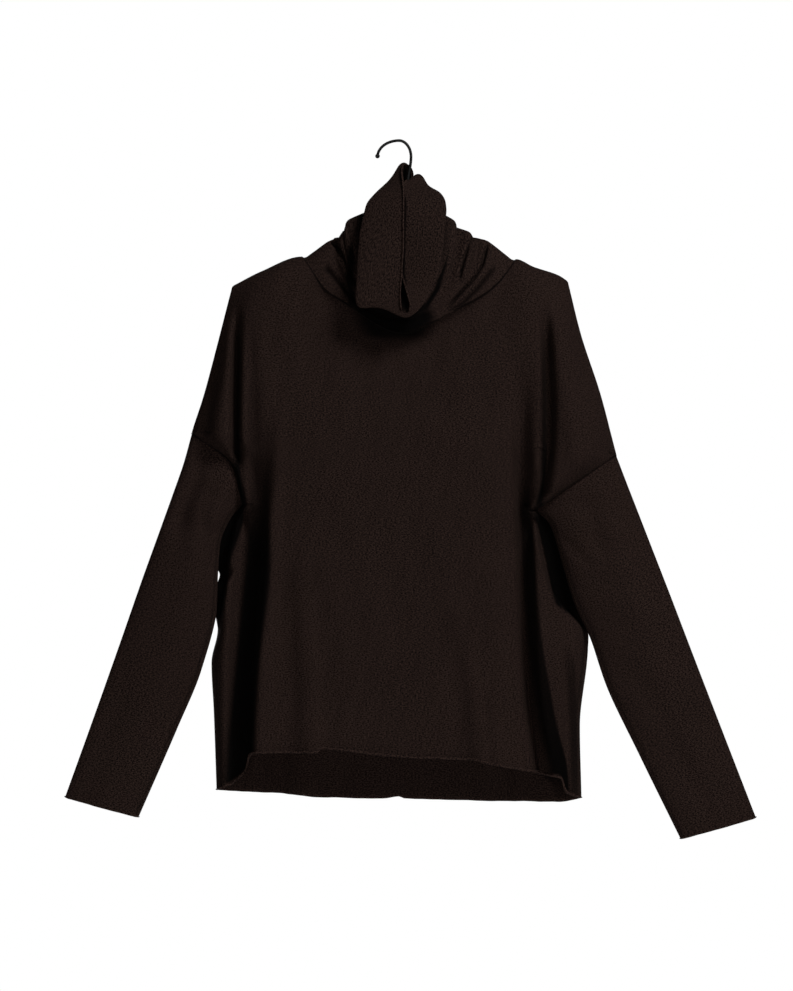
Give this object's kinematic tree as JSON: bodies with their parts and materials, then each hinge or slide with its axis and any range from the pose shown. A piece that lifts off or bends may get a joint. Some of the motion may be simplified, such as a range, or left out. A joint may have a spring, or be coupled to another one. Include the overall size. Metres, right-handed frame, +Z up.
{
  "type": "turtleneck on a hanger",
  "caption": "Dark jersey turtleneck with a wide draped collar and long sleeves, hanging on a slim hanger with a wire hook.",
  "frame": {"origin": "inside top of the hanger's hook, where a rail or line holds it", "axes": "+Z up, the garment's front faces -Y, the wearer's left is +X"},
  "size_m": [0.8281, 0.1028, 0.839],
  "materials": {
    "jersey": "fine matt jersey knit, raw rolled edges",
    "hanger_plastic": "matt black",
    "hook_wire": "black satin"
  },
  "bodies": {
    "root": {"front": "jersey", "back": "jersey", "sleeve_right": "jersey", "sleeve_left": "jersey", "collar": "jersey", "hanger": "hanger_plastic", "hook": "hook_wire"}
  },
  "joints": []
}
